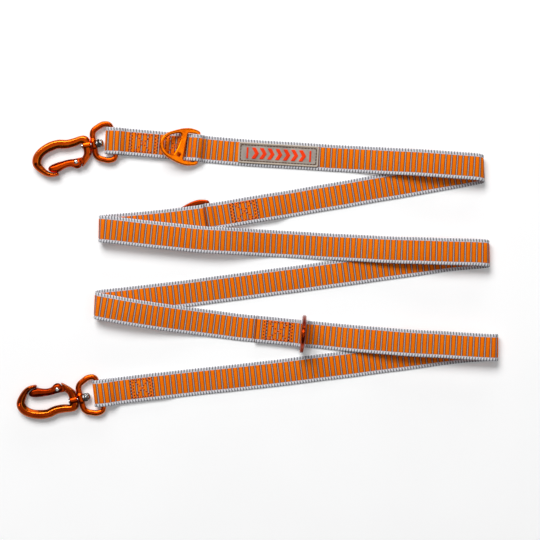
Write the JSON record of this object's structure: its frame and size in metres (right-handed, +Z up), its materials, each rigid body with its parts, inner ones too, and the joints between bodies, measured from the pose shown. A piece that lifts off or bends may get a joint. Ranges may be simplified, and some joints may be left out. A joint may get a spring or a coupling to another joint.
{
  "type": "adjustable double-ended dog leash",
  "caption": "Flat woven leash with a swivel snap hook at each end and V-rings sewn in along it, laid out flat in a folded zigzag.",
  "frame": {"origin": "middle of the layout's box, on the surface that it lies on", "axes": "+X along the bands, from the hooks towards the folds of the other end; +Y across the zigzag, towards hook a; +Z up, away from the floor"},
  "size_m": [0.446, 0.2758, 0.0399],
  "materials": {
    "webbing": "woven, matte",
    "thread": "polyester thread, slight sheen",
    "patch_rubber": "moulded soft rubber, matte",
    "emblem_rubber": "moulded soft rubber, matte",
    "patch_thread": "polyester thread",
    "ring_alloy": "satin anodised",
    "hook_alloy": "bright anodised",
    "polished_steel": "polished",
    "spring_steel": "drawn wire"
  },
  "bodies": {
    "leash": {"webbing_upper": "webbing", "webbing_middle": "webbing", "webbing_lower": "webbing", "patch_base": "patch_rubber", "patch_emblem": "emblem_rubber", "patch_stitching": "patch_thread", "stitching_end_a": "thread", "stitching_ring_1": "thread", "stitching_ring_2": "thread", "stitching_ring_3": "thread", "stitching_end_b": "thread"},
    "ring_1": {"ring_1": "ring_alloy"},
    "ring_2": {"ring_2": "ring_alloy"},
    "ring_3": {"ring_3": "ring_alloy"},
    "eye_a": {"eye_a": "hook_alloy"},
    "hook_a": {"hook_body_a": "hook_alloy", "swivel_pin_a": "polished_steel", "swivel_washer_a": "polished_steel"},
    "gate_a": {"gate_a": "hook_alloy", "gate_rivet_a": "polished_steel", "gate_spring_a": "spring_steel", "gate_plunger_a": "spring_steel"},
    "eye_b": {"eye_b": "hook_alloy"},
    "hook_b": {"hook_body_b": "hook_alloy", "swivel_pin_b": "polished_steel", "swivel_washer_b": "polished_steel"},
    "gate_b": {"gate_b": "hook_alloy", "gate_rivet_b": "polished_steel", "gate_spring_b": "spring_steel", "gate_plunger_b": "spring_steel"}
  },
  "joints": [
    {"name": "ring_1_swing", "type": "hinge", "parent": "leash", "child": "ring_1", "pos_m": [-0.05603, 0.11309, 0.0037], "axis": [0.0958, 0.9954, 0], "range_deg": [0, 140]},
    {"name": "ring_2_swing", "type": "hinge", "parent": "leash", "child": "ring_2", "pos_m": [-0.04403, 0.04908, 0.0055], "axis": [0.165, -0.9863, 0], "range_deg": [0, 120]},
    {"name": "ring_3_swing", "type": "hinge", "parent": "leash", "child": "ring_3", "pos_m": [0.04197, -0.05904, 0.0037], "axis": [0.0958, 0.9954, 0], "range_deg": [-65, 65]},
    {"name": "eye_a_pivot", "type": "hinge", "parent": "leash", "child": "eye_a", "pos_m": [-0.13363, 0.11942, 0.0046], "axis": [-0.165, 0.9863, 0], "range_deg": [-80, 80]},
    {"name": "swivel_a_spin", "type": "hinge", "parent": "eye_a", "child": "hook_a", "pos_m": [-0.15158, 0.11642, 0.0046], "axis": [-0.9863, -0.165, 0], "continuous": true},
    {"name": "gate_a_hinge", "type": "hinge", "parent": "hook_a", "child": "gate_a", "pos_m": [-0.16776, 0.09982, 0.0046], "axis": [0, 0, -1], "range_deg": [0, 28], "stiffness_Nm_per_rad": 0.03, "springref_deg": -28.65},
    {"name": "eye_b_pivot", "type": "hinge", "parent": "leash", "child": "eye_b", "pos_m": [-0.14613, -0.11443, 0.0046], "axis": [-0.2588, 0.9659, 0], "range_deg": [-80, 80]},
    {"name": "swivel_b_spin", "type": "hinge", "parent": "eye_b", "child": "hook_b", "pos_m": [-0.16371, -0.11914, 0.0046], "axis": [-0.9659, -0.2588, 0], "continuous": true},
    {"name": "gate_b_hinge", "type": "hinge", "parent": "hook_b", "child": "gate_b", "pos_m": [-0.18532, -0.11075, 0.0046], "axis": [0, 0, 1], "range_deg": [0, 28], "stiffness_Nm_per_rad": 0.03, "springref_deg": -28.65}
  ]
}
